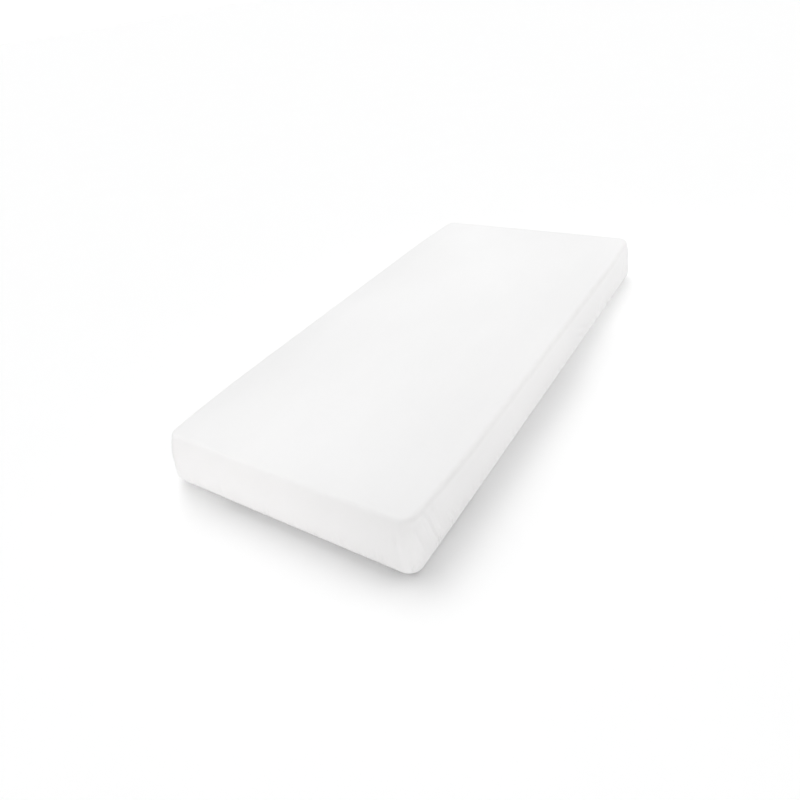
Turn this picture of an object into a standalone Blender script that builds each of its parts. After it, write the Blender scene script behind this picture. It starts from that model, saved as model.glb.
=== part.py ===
"""A fitted sheet stretched over a plain mattress.

Metres, +Z up, the length along Y, the origin under the middle of the object on the surface it lies on.
The sheet is one thin closed shell: a taut top, four walls with rounded corners, and a flat border tucked
under the mattress that ends in the hem. The space inside the hem is open, and the mattress shows there.
Both solids are stacked rings around the plan outline, one ring for each row of a section.
"""

import bpy
import math
import numpy as np

# ---- driving sizes (m) -------------------------------------------------------------------------------------
WIDTH = 0.907            # over the cloth, across
LENGTH = 1.907           # over the cloth, along
HEIGHT = 0.188           # over the cloth, from the surface it lies on
CLOTH = 0.0015           # thickness of the cloth
HEM_CLOTH = 0.0030       # the hem is folded double around its elastic
HEM_BAND = 0.018         # width of the folded hem
EDGE_GAP = 0.0024        # between the cloth and the mattress, on the walls and edges
UNDER_GAP = 0.0026       # between the hem and the mattress's underside
TUCK = 0.145             # how far the border reaches in under the mattress
CORNER_R = 0.041         # plan radius of the corners at the foot
TOP_CORNER_R = 0.050     # and at the top edge
UNDER_HEM_R = 0.115      # the elastic pulls the hem round at the corners
LOW_EDGE, UNDER = 0.038, 0.034   # rounding where the wall turns under: up the wall, and in under it
TOP_EDGE = 0.017         # rounding where the wall meets the top
LEAN_LONG = 0.0012       # the long walls lean in by this much from the foot to the top edge
LEAN_SHORT = 0.0178      # the short ones by this much, most of it near the top
LEAN_POWER = 2.5
DRAW_IN_LONG = 0.0137    # beside the corners the elastic draws the long top edges in by this much more
DRAW_IN_SHORT = 0.0014   # and the short ones by this much
DRAW_REACH = 0.38        # fading out over this distance along the wall
CROWN = 0.0030           # the top falls this much towards its edges
CROWN_REACH = 0.10       # over this distance
WALL_TOP = HEIGHT - CROWN - TOP_EDGE

# stations around the outline: in each corner's arc, in the pleated stretch beside it, and along the rest
ARC_STEPS = 6
LONG_PLEAT_STEPS, LONG_PLEAT_RUN = 12, 0.250
SHORT_PLEAT_STEPS, SHORT_PLEAT_RUN = 6, 0.130
LONG_STEPS, SHORT_STEPS = 10, 4

# ---- the folds ---------------------------------------------------------------------------------------------
# Pleats on the walls, where the cloth's fullness is gathered beside a corner. They fan out from the corner as
# they go down. at = distance from the corner's widest point along that wall at mid height, fan = how much
# further from the corner the foot is than the head, foot and head = heights, half = half width, rise = height
# of the ridge (negative: a trough).
PLEAT_COLUMNS = ("corner", "wall", "at", "fan", "foot", "head", "half", "rise")
PLEATS = (
    ("front_right", "long", 0.047, 0.026, 0.048, 0.148, 0.013, 0.0018),
    ("front_right", "long", 0.074, 0.022, 0.052, 0.152, 0.010, -0.0008),
    ("front_right", "long", 0.098, 0.028, 0.040, 0.158, 0.011, 0.0026),
    ("front_right", "long", 0.129, 0.028, 0.040, 0.154, 0.011, 0.0018),
    ("front_right", "long", 0.194, 0.028, 0.038, 0.108, 0.013, 0.0014),
    ("front_right", "short", 0.052, 0.010, 0.090, 0.168, 0.014, 0.0014),
    ("front_left", "long", 0.046, 0.030, 0.042, 0.156, 0.013, 0.0022),
    ("front_left", "long", 0.108, 0.034, 0.040, 0.150, 0.013, 0.0019),
    ("front_left", "long", 0.176, 0.028, 0.040, 0.112, 0.014, 0.0013),
    ("front_left", "short", 0.060, 0.020, 0.042, 0.130, 0.014, 0.0009),
    ("back_right", "long", 0.050, 0.028, 0.042, 0.156, 0.013, 0.0018),
    ("back_right", "long", 0.118, 0.030, 0.042, 0.140, 0.014, 0.0016),
    ("back_right", "long", 0.232, 0.030, 0.038, 0.104, 0.014, 0.0015),
    ("back_right", "short", 0.052, 0.020, 0.040, 0.140, 0.014, 0.0014),
    ("back_left", "long", 0.044, 0.030, 0.042, 0.158, 0.013, 0.0022),
    ("back_left", "long", 0.104, 0.034, 0.040, 0.150, 0.013, 0.0020),
    ("back_left", "long", 0.186, 0.028, 0.040, 0.120, 0.014, 0.0014),
    ("back_left", "short", 0.048, 0.018, 0.042, 0.146, 0.014, 0.0013),
)
# Slack waves low on the long walls, away from the corners. y = where, lean = how far the head is from the foot
# along Y.
WAVE_COLUMNS = ("wall", "y", "lean", "foot", "head", "half", "rise")
WAVES = (
    ("right", 0.465, -0.030, 0.036, 0.100, 0.032, 0.0014),
    ("right", 0.555, -0.010, 0.030, 0.070, 0.045, 0.0010),
    ("right", 0.330, -0.150, 0.036, 0.105, 0.040, 0.0012),
    ("left", 0.380, 0.040, 0.036, 0.100, 0.070, 0.0011),
    ("left", -0.310, -0.040, 0.036, 0.100, 0.075, 0.0011),
)
# The top's long, very soft streaks. x and y = the middle, run = half length, turn = degrees from the Y axis,
# half = half width, rise = height.
STREAK_COLUMNS = ("x", "y", "run", "turn", "half", "rise")
STREAKS = (
    (-0.235, -0.330, 0.420, -6.0, 0.050, 0.0009),
    (-0.060, -0.140, 0.620, -7.0, 0.055, -0.0009),
    (0.100, -0.260, 0.480, -8.0, 0.045, 0.0008),
    (0.250, 0.120, 0.600, -6.0, 0.050, -0.0008),
    (-0.170, 0.440, 0.380, -8.0, 0.050, 0.0008),
    (0.090, 0.520, 0.340, -10.0, 0.045, 0.0007),
)


def rows(columns, table):
    return [dict(zip(columns, row)) for row in table]


# ---- the outline and its stations --------------------------------------------------------------------------
CORNERS = (  # name, sign of x, sign of y, angle at which its arc starts (anticlockwise from above)
    ("back_right", 1, 1, 0.0),
    ("back_left", -1, 1, 90.0),
    ("front_left", -1, -1, 180.0),
    ("front_right", 1, -1, 270.0),
)


def stations():
    """Each station is (corner, degrees, None) on an arc, or (corner, wall, share) on the straight that follows it:
    share runs from 0 at this corner's arc to 1 at the next one's."""
    out = []
    for k, (_, _, _, start) in enumerate(CORNERS):
        out += [(k, start + 90.0 * i / ARC_STEPS, None) for i in range(ARC_STEPS + 1)]
        short = k in (0, 2)   # the wall after back_right and after front_left runs across
        whole = (WIDTH if short else LENGTH) - 2 * CORNER_R
        run = SHORT_PLEAT_RUN if short else LONG_PLEAT_RUN
        near = SHORT_PLEAT_STEPS if short else LONG_PLEAT_STEPS
        far = SHORT_STEPS if short else LONG_STEPS
        at = [run * i / near for i in range(1, near + 1)]
        at += [run + (whole - 2 * run) * i / far for i in range(1, far + 1)]
        at += [whole - run + run * i / near for i in range(1, near)]
        out += [(k, None, a / whole) for a in at]
    return out


def draw_in(distance):
    """Share of the corner's draw-in that is left at this distance from it along a wall."""
    return max(0.0, 1 - distance / DRAW_REACH) ** 2


def ring(inset_long, inset_short, radius, where, height=0.0):
    """The plan outline: one (x, y) for each station. The insets are those of the long and the short walls, radius
    is the corners', and height runs from 0 at the foot to 1 at the top edge, where the outline is drawn in."""
    hx, hy = WIDTH / 2 - inset_long - radius, LENGTH / 2 - inset_short - radius
    out = []
    for corner, degrees, share in where:
        if share is None:
            _, sx, sy, _ = CORNERS[corner]
            c, s = math.cos(math.radians(degrees)), math.sin(math.radians(degrees))
            reach = radius - height * (DRAW_IN_LONG * c * c + DRAW_IN_SHORT * s * s)
            out.append((sx * hx + reach * c, sy * hy + reach * s))
            continue
        a = math.radians(CORNERS[corner][3] + 90.0)
        nx, ny = math.cos(a), math.sin(a)          # the wall's outward direction
        tx, ty = -ny, nx                           # anticlockwise along the wall
        long_wall = abs(nx) > 0.5
        half = hy if long_wall else hx
        along = -half + 2 * half * share
        depth = (hx if long_wall else hy) + radius
        depth -= height * (DRAW_IN_LONG if long_wall else DRAW_IN_SHORT) * draw_in(half - abs(along))
        out.append((nx * depth + tx * along, ny * depth + ty * along))
    return np.array(out)


def wall_row(z, extra=0.0):
    """A section row on the walls: both insets, z, plan radius and height share."""
    t = min(1.0, max(0.0, (z - LOW_EDGE) / (WALL_TOP - LOW_EDGE)))
    return (LEAN_LONG * t ** LEAN_POWER + extra, LEAN_SHORT * t ** LEAN_POWER + extra, z,
            CORNER_R + (TOP_CORNER_R - CORNER_R) * t - extra, z / WALL_TOP)


def top_row(inset, z, radius, height=1.0):
    """A section row past the top edge, inset from it on all four sides."""
    return (LEAN_LONG + inset, LEAN_SHORT + inset, z, radius, height)


def cloth_section():
    """Rows from the hem's inner edge, out along the underside, up the wall and over the top."""
    out = []
    for inset in (TUCK, TUCK - HEM_BAND, UNDER + 0.035, UNDER):
        t = (inset - UNDER) / (TUCK - UNDER)
        out.append((inset, inset, 0.0, CORNER_R + (UNDER_HEM_R - CORNER_R) * t, 0.0))
    for i in range(1, 4):
        a = math.radians(90.0 * i / 4 + 4)
        inset, z = UNDER * (1 - math.sin(a)), LOW_EDGE * (1 - math.cos(a))
        out.append((inset, inset, z, CORNER_R, z / WALL_TOP))
    out += [wall_row(z) for z in (LOW_EDGE, 0.078, 0.112, 0.142, WALL_TOP)]
    for i in (1, 2, 3):
        a = math.radians(30.0 * i)
        out.append(top_row(TOP_EDGE * (1 - math.cos(a)), WALL_TOP + TOP_EDGE * math.sin(a), TOP_CORNER_R))
    for more, radius, height in ((0.045, 0.040, 0.6), (0.110, 0.035, 0.2), (0.190, 0.035, 0.0), (0.270, 0.030, 0.0),
                                 (0.345, 0.025, 0.0)):
        t = min(1.0, more / CROWN_REACH)
        out.append(top_row(TOP_EDGE + more, HEIGHT - CROWN * (1 - t) ** 2, radius, height))
    return out


# ---- folds as heights over the plain surface ---------------------------------------------------------------
def bump(x, half):
    return math.exp(-(x / half) ** 2)


def fade(z, low, high, soft=0.022):
    def step(a):
        a = min(1.0, max(0.0, a))
        return a * a * (3 - 2 * a)
    return step((z - low) / soft + 0.5) * step((high - z) / soft + 0.5)


def wall_fold(x, y, z):
    """How far the cloth stands out of the plain wall at this point."""
    out = 0.0
    for p in rows(PLEAT_COLUMNS, PLEATS):
        _, sx, sy, _ = next(c for c in CORNERS if c[0] == p["corner"])
        if x * sx < 0 or y * sy < 0:
            continue
        from_x, from_y = WIDTH / 2 - abs(x), LENGTH / 2 - abs(y)
        on_long = from_x < from_y
        if on_long != (p["wall"] == "long"):
            continue
        along = from_y if on_long else from_x
        t = (z - (p["foot"] + p["head"]) / 2) / (p["head"] - p["foot"])
        centre = p["at"] - p["fan"] * t
        out += p["rise"] * bump(along - centre, p["half"]) * fade(z, p["foot"], p["head"])
    for w in rows(WAVE_COLUMNS, WAVES):
        side = 1 if w["wall"] == "right" else -1
        if x * side < WIDTH / 2 - 0.06:
            continue
        t = (z - w["foot"]) / (w["head"] - w["foot"])
        out += w["rise"] * bump(y - (w["y"] + w["lean"] * t), w["half"]) * fade(z, w["foot"], w["head"])
    return out


def top_fold(x, y):
    out = 0.0
    for s in rows(STREAK_COLUMNS, STREAKS):
        a = math.radians(s["turn"])
        dx, dy = x - s["x"], y - s["y"]
        across, along = dx * math.cos(a) + dy * math.sin(a), -dx * math.sin(a) + dy * math.cos(a)
        out += s["rise"] * bump(across, s["half"]) * bump(along, s["run"])
    return out


# ---- meshes ------------------------------------------------------------------------------------------------
def band_faces(rings, count, first=0, flip=False):
    faces = []
    for r in range(rings - 1):
        for i in range(count):
            j = (i + 1) % count
            quad = (first + r * count + i, first + r * count + j, first + (r + 1) * count + j,
                    first + (r + 1) * count + i)
            faces.append(quad[::-1] if flip else quad)
    return faces


def vertex_normals(points, faces):
    normals = np.zeros_like(points)
    for f in faces:
        a, b, c = points[f[0]], points[f[1]], points[f[2]]
        n = np.cross(b - a, c - a)
        if len(f) == 4:
            n = n + np.cross(c - a, points[f[3]] - a)
        for v in f:
            normals[v] += n
    return normals / np.linalg.norm(normals, axis=1)[:, None]


def make_object(name, points, faces, colour, roughness):
    mesh = bpy.data.meshes.new(name)
    mesh.from_pydata([tuple(p) for p in points], [], faces)
    mesh.validate()
    mesh.update()
    mesh.shade_smooth()
    mesh.set_sharp_from_angle(angle=math.radians(50))
    obj = bpy.data.objects.new(name, mesh)
    bpy.context.scene.collection.objects.link(obj)
    material = bpy.data.materials.new(name)
    material.use_nodes = True
    shader = next(n for n in material.node_tree.nodes if n.type == "BSDF_PRINCIPLED")
    shader.inputs["Base Color"].default_value = (*colour, 1.0)
    shader.inputs["Roughness"].default_value = roughness
    shader.inputs["Metallic"].default_value = 0.0
    mesh.materials.append(material)
    return obj


def fitted_sheet():
    where = stations()
    count = len(where)
    section = cloth_section()
    last = len(section) - 1
    outer = np.concatenate([np.c_[ring(il, js, radius, where, height), np.full(count, z)]
                            for il, js, z, radius, height in section])
    skin = band_faces(len(section), count)
    cap = tuple(last * count + i for i in range(count))
    plain = vertex_normals(outer, skin + [cap])
    flat_rows = 4                                     # the rows that lie on the surface stay flat
    folded = outer.copy()
    for v in range(flat_rows * count, len(outer)):
        x, y, z = outer[v]
        if z <= WALL_TOP + 1e-9:
            folded[v] += plain[v] * wall_fold(x, y, z)
        else:
            ease = (min(WIDTH / 2 - abs(x) - LEAN_LONG, LENGTH / 2 - abs(y) - LEAN_SHORT) - TOP_EDGE) / 0.1
            folded[v, 2] += top_fold(x, y) * min(1.0, max(0.0, ease))
    # the ridges don't carry the walls past the widest outline
    folded[:, 0] = np.clip(folded[:, 0], -WIDTH / 2, WIDTH / 2)
    folded[:, 1] = np.clip(folded[:, 1], -LENGTH / 2, LENGTH / 2)
    normals = vertex_normals(folded, skin + [cap])
    inner = folded - normals * CLOTH
    inner[:4 * count, 2] = CLOTH                       # the border's upper face
    inner[:2 * count, 2] = HEM_CLOTH                   # the hem, folded double
    inner[:3 * count, :2] = folded[:3 * count, :2]
    total = len(folded)
    faces = skin + [cap]
    faces += band_faces(len(section), count, first=total, flip=True)
    faces.append(tuple(total + v for v in cap)[::-1])
    for i in range(count):                             # the hem's edge
        j = (i + 1) % count
        faces.append((j, i, total + i, total + j))
    points = np.concatenate([folded, inner])
    points[:, 2] -= points[:, 2].max() - HEIGHT if points[:, 2].max() > HEIGHT else 0.0
    points[:4 * count, 2] = 0.0
    return make_object("fitted_sheet", points, faces, (0.93, 0.93, 0.925), 0.85)


def mattress():
    """One plain foam block that follows the inside of the sheet, EDGE_GAP clear of it."""
    where = stations()
    keep = [i for i, s in enumerate(where) if s[2] is None or i % 4 == 0]
    where = [where[i] for i in keep]
    count = len(where)
    clear = CLOTH + EDGE_GAP
    low = HEM_CLOTH + UNDER_GAP
    top = HEIGHT - CROWN - CLOTH - EDGE_GAP - 0.0005
    lift = LOW_EDGE * 0.92
    section = [(clear + UNDER, clear + UNDER, low, CORNER_R - 0.008, 0.0)]
    for i in (1, 2):
        a = math.radians(30.0 * i)
        inset, z = clear + UNDER * (1 - math.sin(a)), low + lift * (1 - math.cos(a))
        section.append((inset, inset, z, CORNER_R - 0.004, z / WALL_TOP))
    for z in (low + lift, 0.078, 0.112, 0.142, top - TOP_EDGE):
        il, js, _, radius, height = wall_row(z + 0.006, 0.0)
        section.append((il + clear, js + clear, z, radius - 0.004, height))
    for i in (1, 2, 3):
        a = math.radians(30.0 * i)
        il, js, _, radius, height = top_row(clear + TOP_EDGE * (1 - math.cos(a)), 0.0, TOP_CORNER_R - 0.004)
        section.append((il, js, top - TOP_EDGE * (1 - math.sin(a)), radius, height))
    points = np.concatenate([np.c_[ring(il, js, radius, where, height), np.full(count, z)]
                             for il, js, z, radius, height in section])
    faces = band_faces(len(section), count)
    faces.append(tuple((len(section) - 1) * count + i for i in range(count)))
    faces.append(tuple(range(count))[::-1])
    return make_object("mattress", points, faces, (0.86, 0.85, 0.82), 0.8)


def main():
    for o in list(bpy.data.objects):
        bpy.data.objects.remove(o, do_unlink=True)
    mattress()
    fitted_sheet()


main()
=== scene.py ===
"""Looks of a white fitted sheet stretched over a mattress.

The sheet is one closed thin shell: a taut top with long soft streaks, walls with fans of pleats beside the
corners, a seam down each corner, a rounded turn-under and a gathered, hemmed border lying flat underneath.
The mattress inside is a plain block in ticking that shows through the opening of the hem.
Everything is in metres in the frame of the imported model.
"""
import math

import bpy
import numpy as np
from mathutils import Matrix, Vector


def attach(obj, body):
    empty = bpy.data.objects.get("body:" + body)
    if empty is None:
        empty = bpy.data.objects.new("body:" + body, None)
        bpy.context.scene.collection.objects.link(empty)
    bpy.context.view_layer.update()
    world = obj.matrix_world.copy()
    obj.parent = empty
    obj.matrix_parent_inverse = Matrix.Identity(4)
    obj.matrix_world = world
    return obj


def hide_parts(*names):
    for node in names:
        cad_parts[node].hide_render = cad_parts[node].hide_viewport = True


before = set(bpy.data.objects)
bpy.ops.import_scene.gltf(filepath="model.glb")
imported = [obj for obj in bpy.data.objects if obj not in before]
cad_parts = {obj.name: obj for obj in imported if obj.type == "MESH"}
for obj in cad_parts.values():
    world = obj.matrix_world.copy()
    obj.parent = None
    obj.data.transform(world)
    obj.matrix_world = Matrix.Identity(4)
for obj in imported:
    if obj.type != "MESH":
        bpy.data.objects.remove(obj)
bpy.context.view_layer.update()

# ---- sizes, as in the solids ---------------------------------------------------------------------------------
WIDTH, LENGTH, HEIGHT = 0.907, 1.907, 0.188
CLOTH, HEM_CLOTH, HEM_BAND = 0.0015, 0.0026, 0.018
TUCK, UNDER_HEM_R = 0.145, 0.115
CORNER_R, TOP_CORNER_R = 0.041, 0.0424          # plan radius of the corners, at the foot and at the top
LOW_EDGE, UNDER = 0.038, 0.034                 # rounding where the wall turns under, up and in
TOP_EDGE = 0.017
LEAN_LONG, LEAN_SHORT, LEAN_POWER = 0.0012, 0.0178, 2.5
DRAW_IN, DRAW_IN_SHORT, DRAW_REACH = 0.0137, 0.0014, 0.38   # the top edges are drawn in towards the corners
CROWN, CROWN_REACH = 0.0030, 0.10
WALL_TOP = HEIGHT - CROWN - TOP_EDGE

# ---- stations round the outline ------------------------------------------------------------------------------
HALF_ARC_FIRST = (0.0008, 0.0018, 0.0032)     # close together beside the corner seam
HALF_ARC_CELLS = 12
NEAR_STEP, MID_STEP = 0.0036, 0.0080
LONG_NEAR_CELLS, LONG_MID_CELLS = 84, 222
SHORT_NEAR_CELLS, SHORT_MID_CELLS = 67, 46
COARSE = 3                                     # the top and the lining side take every third station

# ---- folds ---------------------------------------------------------------------------------------------------
# Pleats fan out from the corners down the walls. at = distance from the corner along the wall at mid height,
# fan = how much further out the foot is than the head, foot and head = heights, half = half width, rise.
PLEAT_COLUMNS = ("corner", "wall", "at", "fan", "foot", "head", "half", "rise")
PLEATS = (
    ("front_right", "long", 0.0480, 0.026, 0.044, 0.152, 0.0085, 0.0025),
    ("front_right", "long", 0.0860, 0.024, 0.056, 0.156, 0.0050, -0.0007),
    ("front_right", "long", 0.0975, 0.030, 0.040, 0.162, 0.0080, 0.0034),
    ("front_right", "long", 0.1150, 0.028, 0.050, 0.150, 0.0070, -0.0005),
    ("front_right", "long", 0.1310, 0.030, 0.040, 0.158, 0.0075, 0.0024),
    ("front_right", "long", 0.1850, 0.010, 0.056, 0.150, 0.0340, -0.0014),
    ("front_right", "long", 0.1940, 0.028, 0.036, 0.108, 0.0070, 0.0022),
    ("front_right", "long", 0.2230, 0.014, 0.046, 0.088, 0.0060, 0.0011),
    ("front_right", "long", 0.2400, 0.014, 0.040, 0.078, 0.0065, 0.0011),
    ("front_right", "long", 0.3120, 0.010, 0.044, 0.082, 0.0075, 0.0011),
    ("front_right", "short", 0.0460, 0.006, 0.112, 0.166, 0.0090, 0.0017),
    ("front_right", "short", 0.0660, 0.012, 0.060, 0.140, 0.0110, -0.0007),
    ("front_left", "long", 0.0460, 0.030, 0.042, 0.156, 0.0105, 0.0026),
    ("front_left", "long", 0.0780, 0.028, 0.050, 0.150, 0.0060, -0.0008),
    ("front_left", "long", 0.1080, 0.034, 0.038, 0.150, 0.0080, 0.0023),
    ("front_left", "long", 0.1760, 0.028, 0.040, 0.112, 0.0090, 0.0014),
    ("front_left", "short", 0.0600, 0.020, 0.042, 0.130, 0.0120, 0.0006),
    ("back_right", "long", 0.0500, 0.028, 0.042, 0.156, 0.0110, 0.0020),
    ("back_right", "long", 0.0840, 0.026, 0.050, 0.140, 0.0060, -0.0007),
    ("back_right", "long", 0.1180, 0.030, 0.042, 0.140, 0.0085, 0.0017),
    ("back_right", "long", 0.2320, 0.030, 0.040, 0.100, 0.0080, 0.0018),
    ("back_right", "long", 0.2900, 0.018, 0.060, 0.122, 0.0090, 0.0008),
    ("back_right", "short", 0.0520, 0.020, 0.042, 0.140, 0.0100, 0.0013),
    ("back_right", "short", 0.0980, 0.026, 0.040, 0.112, 0.0100, 0.0009),
    ("back_left", "long", 0.0440, 0.030, 0.042, 0.158, 0.0105, 0.0026),
    ("back_left", "long", 0.0740, 0.028, 0.050, 0.150, 0.0060, -0.0008),
    ("back_left", "long", 0.1040, 0.034, 0.038, 0.150, 0.0080, 0.0024),
    ("back_left", "long", 0.1860, 0.028, 0.040, 0.120, 0.0090, 0.0016),
    ("back_left", "short", 0.0480, 0.018, 0.042, 0.146, 0.0100, 0.0012),
    ("back_left", "short", 0.0900, 0.020, 0.040, 0.110, 0.0090, 0.0008),
)
# How many small pleats lie between the main ones on each wall of a corner, and how tall they are at most.
SMALL_PLEATS = {"long": (11, 0.30, 0.0005), "short": (6, 0.18, 0.0003)}

# Slack creases on the walls, away from the corners. y or x = where the foot is, lean = how far the head is from
# it, along the wall.
CREASE_COLUMNS = ("wall", "at", "lean", "foot", "head", "half", "rise")
CREASES = (
    ("right", 0.417, -0.016, 0.030, 0.080, 0.0085, 0.0022),
    ("right", 0.436, -0.014, 0.030, 0.096, 0.0080, -0.0022),
    ("right", 0.455, -0.012, 0.030, 0.098, 0.0095, 0.0034),
    ("right", 0.481, -0.012, 0.030, 0.080, 0.0090, 0.0016),
    ("right", 0.500, -0.014, 0.026, 0.100, 0.0080, -0.0022),
    ("right", 0.519, -0.014, 0.026, 0.100, 0.0100, 0.0038),
    ("right", 0.550, -0.020, 0.024, 0.062, 0.0170, 0.0022),
    ("right", 0.402, -0.160, 0.034, 0.108, 0.0120, 0.0036),
    ("right", 0.350, -0.150, 0.030, 0.088, 0.0110, 0.0026),
    ("right", 0.310, -0.150, 0.030, 0.070, 0.0120, -0.0012),
    ("right", 0.640, -0.010, 0.036, 0.066, 0.0120, -0.0012),
    ("right", 0.715, -0.016, 0.050, 0.104, 0.0090, 0.0013),
    ("right", -0.250, 0.050, 0.030, 0.110, 0.0600, 0.0007),
    ("right", 0.130, -0.060, 0.030, 0.110, 0.0700, 0.0007),
    ("left", 0.380, 0.040, 0.030, 0.100, 0.0500, 0.0010),
    ("left", -0.310, -0.040, 0.030, 0.100, 0.0550, 0.0010),
    ("left", 0.060, 0.030, 0.034, 0.078, 0.0120, 0.0008),
    ("back", -0.080, 0.030, 0.034, 0.080, 0.0160, 0.0008),
    ("back", 0.150, -0.030, 0.030, 0.090, 0.0400, 0.0008),
    ("front", -0.120, 0.030, 0.030, 0.100, 0.0600, 0.0005),
    ("front", 0.190, -0.040, 0.030, 0.100, 0.0500, 0.0005),
)
# Low pleats where the elastic gathers the foot of the walls: place along the wall and height of the head. The
# right wall's are listed; the others are spread at about this spacing.
FOOT_PLEATS = (
    (-0.775, 0.066), (-0.727, 0.058), (-0.686, 0.062), (-0.632, 0.060), (-0.572, 0.080), (-0.531, 0.064),
    (-0.477, 0.060), (-0.417, 0.080), (-0.382, 0.066), (-0.346, 0.086), (-0.286, 0.062), (-0.227, 0.068),
    (-0.167, 0.060), (-0.096, 0.070), (-0.012, 0.084), (0.052, 0.066), (0.118, 0.072), (0.176, 0.062),
    (0.596, 0.060), (0.668, 0.066), (0.762, 0.064),
)
FOOT_SPACING = {"left": 0.056, "back": 0.066, "front": 0.066}
# The top's long, very soft streaks. x and y = the middle, run = half length, turn = degrees from the Y axis,
# half = half width, rise.
STREAK_COLUMNS = ("x", "y", "run", "turn", "half", "rise")
STREAKS = (
    (0.135, -0.560, 0.330, -6.5, 0.055, 0.0011),
    (0.185, -0.060, 0.260, -5.0, 0.055, 0.0007),
    (0.080, 0.535, 0.300, 26.0, 0.050, 0.0008),
    (-0.200, -0.480, 0.400, 5.0, 0.050, -0.0011),
    (-0.300, 0.200, 0.300, 20.0, 0.050, -0.0010),
    (-0.330, -0.520, 0.340, 3.0, 0.045, 0.0007),
    (0.310, -0.420, 0.360, -4.0, 0.050, -0.0009),
    (0.045, -0.260, 0.300, 2.0, 0.035, -0.0005),
    (-0.120, 0.420, 0.260, 14.0, 0.060, 0.0008),
    (0.260, 0.420, 0.260, 24.0, 0.045, -0.0006),
    (-0.053, -0.270, 0.360, -1.0, 0.014, 0.00110),
    (-0.190, -0.330, 0.120, 5.0, 0.014, 0.00085),
    (-0.212, 0.090, 0.070, 8.0, 0.014, 0.00080),
    (0.053, 0.045, 0.110, 3.0, 0.014, 0.00085),
    (0.368, -0.410, 0.070, 10.0, 0.012, 0.00055),
    (0.118, 0.130, 0.060, 18.0, 0.013, 0.00060),
    (0.300, 0.165, 0.070, 18.0, 0.011, -0.00058),
    (0.245, 0.220, 0.080, 24.0, 0.012, 0.00054),
    (0.260, 0.355, 0.070, 22.6, 0.012, 0.00044),
    (0.215, -0.700, 0.120, -4.0, 0.012, 0.00044),
    (-0.290, -0.640, 0.130, 4.0, 0.012, 0.00041),
    (-0.040, 0.250, 0.100, 12.0, 0.012, -0.00044),
)

CORNER_SIGNS = {"front_left": (-1, -1), "front_right": (1, -1), "back_right": (1, 1), "back_left": (-1, 1)}
# side: outward normal and anticlockwise tangent in plan
SIDES = (("front", (0, -1), (1, 0)), ("right", (1, 0), (0, 1)), ("back", (0, 1), (-1, 0)), ("left", (-1, 0), (0, -1)))


def rows(columns, table):
    return [dict(zip(columns, row)) for row in table]


def smooth(a):
    a = np.clip(a, 0.0, 1.0)
    return a * a * (3 - 2 * a)


def bump(a, half):
    return np.exp(-np.square(a / half))


def between(z, low, high, soft=0.020):
    return smooth((z - low) / soft + 0.5) * smooth((high - z) / soft + 0.5)


class Ripple:
    """An irregular wave along a line: a few sines whose phases wander slowly, from -1 to 1."""

    def __init__(self, seed, lengths, wander=0.22):
        rng = np.random.default_rng(seed)
        self.parts = [(2 * math.pi / length, rng.uniform(0, 2 * math.pi), rng.uniform(0, 2 * math.pi),
                       rng.uniform(0.7, 1.3), rng.uniform(0.6, 1.0)) for length in lengths]
        self.wander = wander

    def __call__(self, s):
        out, total = 0.0, 0.0
        for k, phase, other, warp, weight in self.parts:
            out = out + weight * np.sin(k * s + phase + 1.6 * np.sin(k * self.wander * warp * s + other))
            total += weight
        return out / total


# ---- outline -------------------------------------------------------------------------------------------------
def make_stations():
    """Arrays of side (0 to 3), kind (-1 first half arc, 0 straight, 1 last half arc) and value (radians on an arc,
    share of the straight). Each side starts at its corner's middle, where a seam runs."""
    arc = CORNER_R * math.pi / 4
    first = list(HALF_ARC_FIRST)
    rest = HALF_ARC_CELLS - len(first)
    from_seam = [0.0] + first + [first[-1] + (arc - first[-1]) * i / rest for i in range(1, rest + 1)]
    side, kind, value = [], [], []
    for k in range(4):
        length = (WIDTH if k in (0, 2) else LENGTH) - 2 * CORNER_R
        near, mid = (SHORT_NEAR_CELLS, SHORT_MID_CELLS) if k in (0, 2) else (LONG_NEAR_CELLS, LONG_MID_CELLS)
        at = [NEAR_STEP * i for i in range(near)]
        reach = NEAR_STEP * near
        at += [reach + (length - 2 * reach) * i / mid for i in range(mid)]
        at += [length - reach + NEAR_STEP * i for i in range(near)]
        for d in from_seam[:-1]:
            side.append(k), kind.append(-1), value.append(-(arc - d) / CORNER_R)
        for a in at:
            side.append(k), kind.append(0), value.append(a / length)
        for d in from_seam[::-1][:-1]:
            side.append(k), kind.append(1), value.append((arc - d) / CORNER_R)
    return np.array(side), np.array(kind), np.array(value)


def draw_in(distance):
    """Share of the corner's draw-in left at this distance from it along a wall."""
    return np.clip(1 - distance / DRAW_REACH, 0, 1) ** 2


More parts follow.
